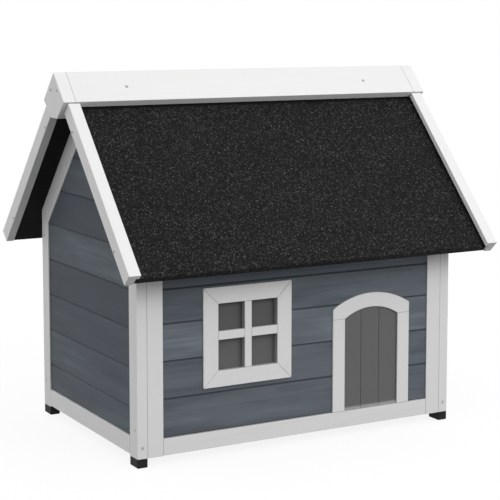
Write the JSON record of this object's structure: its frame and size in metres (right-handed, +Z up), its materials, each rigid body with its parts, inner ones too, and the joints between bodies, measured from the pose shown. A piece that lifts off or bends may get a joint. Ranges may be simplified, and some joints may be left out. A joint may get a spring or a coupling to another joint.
{
  "type": "cat house",
  "caption": "Wooden cat house with grey boarded walls, white frames, a steep felted roof, a barred window and an arched doorway hung with flexible strips.",
  "frame": {"origin": "on the ground, below the middle of the house", "axes": "+X along the ridge to the right as seen from the front, +Y to the rear, so the door and window face -Y, +Z up"},
  "size_m": [0.896, 0.6906, 0.7816],
  "materials": {
    "white_paint": "painted, satin",
    "grey_paint": "stained, matt",
    "roof_wood": "painted, matt",
    "plain_wood": "bare, matt",
    "roofing_felt": "mineral granules, matt",
    "clear_sheet": "clear, polished",
    "soft_sheet": "flexible, smooth",
    "black_plastic": "moulded, matt",
    "zinc_steel": "zinc plated"
  },
  "bodies": {
    "house": {"front_left_foot": "black_plastic", "front_right_foot": "black_plastic", "rear_left_foot": "black_plastic", "rear_right_foot": "black_plastic", "left_gable_front_stile": "white_paint", "left_gable_rear_stile": "white_paint", "left_gable_bottom_rail": "white_paint", "left_gable_front_rafter": "white_paint", "left_gable_rear_rafter": "white_paint", "right_gable_front_stile": "white_paint", "right_gable_rear_stile": "white_paint", "right_gable_bottom_rail": "white_paint", "right_gable_front_rafter": "white_paint", "right_gable_rear_rafter": "white_paint", "front_left_stile": "white_paint", "front_right_stile": "white_paint", "front_bottom_rail": "white_paint", "front_top_rail": "white_paint", "back_left_stile": "white_paint", "back_right_stile": "white_paint", "back_bottom_rail": "white_paint", "back_top_rail": "white_paint", "front_boards": "grey_paint", "back_boards": "grey_paint", "left_gable_boards": "grey_paint", "right_gable_boards": "grey_paint", "window_top_casing": "white_paint", "window_bottom_casing": "white_paint", "window_left_casing": "white_paint", "window_right_casing": "white_paint", "window_upright_bar": "white_paint", "window_left_bar": "white_paint", "window_right_bar": "white_paint", "window_pane": "clear_sheet", "door_arch_head": "white_paint", "door_left_jamb": "white_paint", "door_right_jamb": "white_paint", "door_strip_batten": "grey_paint", "floor_panel": "plain_wood", "front_floor_bearer": "plain_wood", "rear_floor_bearer": "plain_wood", "front_roof_panel": "roof_wood", "rear_roof_panel": "roof_wood", "front_roof_felt": "roofing_felt", "rear_roof_felt": "roofing_felt", "ridge_felt": "roofing_felt", "front_ridge_board": "white_paint", "rear_ridge_board": "white_paint", "left_ridge_block": "white_paint", "right_ridge_block": "white_paint", "front_left_barge_board": "white_paint", "front_right_barge_board": "white_paint", "rear_left_barge_board": "white_paint", "rear_right_barge_board": "white_paint", "frame_screws": "zinc_steel", "cap_screws": "zinc_steel", "roof_nails": "zinc_steel"},
    "left_strip": {"door_left_strip": "soft_sheet"},
    "middle_strip": {"door_middle_strip": "soft_sheet"},
    "right_strip": {"door_right_strip": "soft_sheet"}
  },
  "joints": [
    {"name": "left_strip_hinge", "type": "hinge", "parent": "house", "child": "left_strip", "pos_m": [0.12725, -0.24575, 0.2787], "axis": [1, 0, 0], "range_deg": [0, 80]},
    {"name": "middle_strip_hinge", "type": "hinge", "parent": "house", "child": "middle_strip", "pos_m": [0.1747, -0.24575, 0.2787], "axis": [1, 0, 0], "range_deg": [0, 80]},
    {"name": "right_strip_hinge", "type": "hinge", "parent": "house", "child": "right_strip", "pos_m": [0.22365, -0.24575, 0.2787], "axis": [1, 0, 0], "range_deg": [0, 80]}
  ]
}
